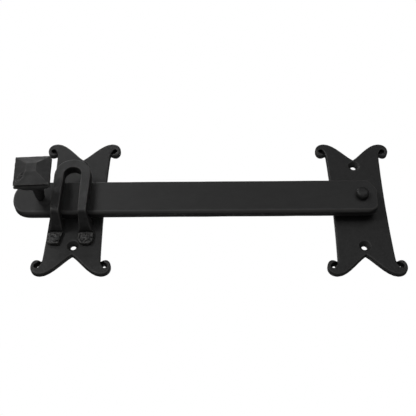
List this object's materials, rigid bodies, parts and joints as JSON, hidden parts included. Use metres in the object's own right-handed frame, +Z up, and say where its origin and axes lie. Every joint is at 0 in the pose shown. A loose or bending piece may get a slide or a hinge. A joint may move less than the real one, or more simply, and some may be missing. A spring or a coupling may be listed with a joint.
{
  "type": "drop-bar latch",
  "caption": "Cast-iron drop-bar latch with scrolled mounting plates, an upright keeper strap and a square pyramid pull knob.",
  "frame": {"origin": "on the pivot pin's axis, in the plane of the plates' backs (the face of the door)", "axes": "+X along the bar towards its pivoted end, +Z up the door, +Y into the door, so the front faces -Y"},
  "size_m": [0.3323, 0.0625, 0.138],
  "materials": {
    "cast_plate": "satin black coating over fine sand-cast pitting",
    "bar_iron": "satin black coating, smoother face",
    "strap_iron": "satin black coating, forged-looking surface",
    "knob_iron": "satin black coating, hammered facets",
    "rivet_iron": "satin black coating, hammered head"
  },
  "bodies": {
    "door_side": {"pivot_plate": "cast_plate", "keeper_plate": "cast_plate", "keeper_strap": "strap_iron", "keeper_rivet_left": "rivet_iron", "keeper_rivet_right": "rivet_iron", "pivot_pin": "rivet_iron", "pivot_spacer": "cast_plate"},
    "bar": {"latch_bar": "bar_iron", "pull_knob": "knob_iron"}
  },
  "joints": [
    {"name": "bar_pivot", "type": "hinge", "parent": "door_side", "child": "bar", "pos_m": [0, 0, 0], "axis": [0, 1, 0], "range_deg": [0, 270]}
  ]
}
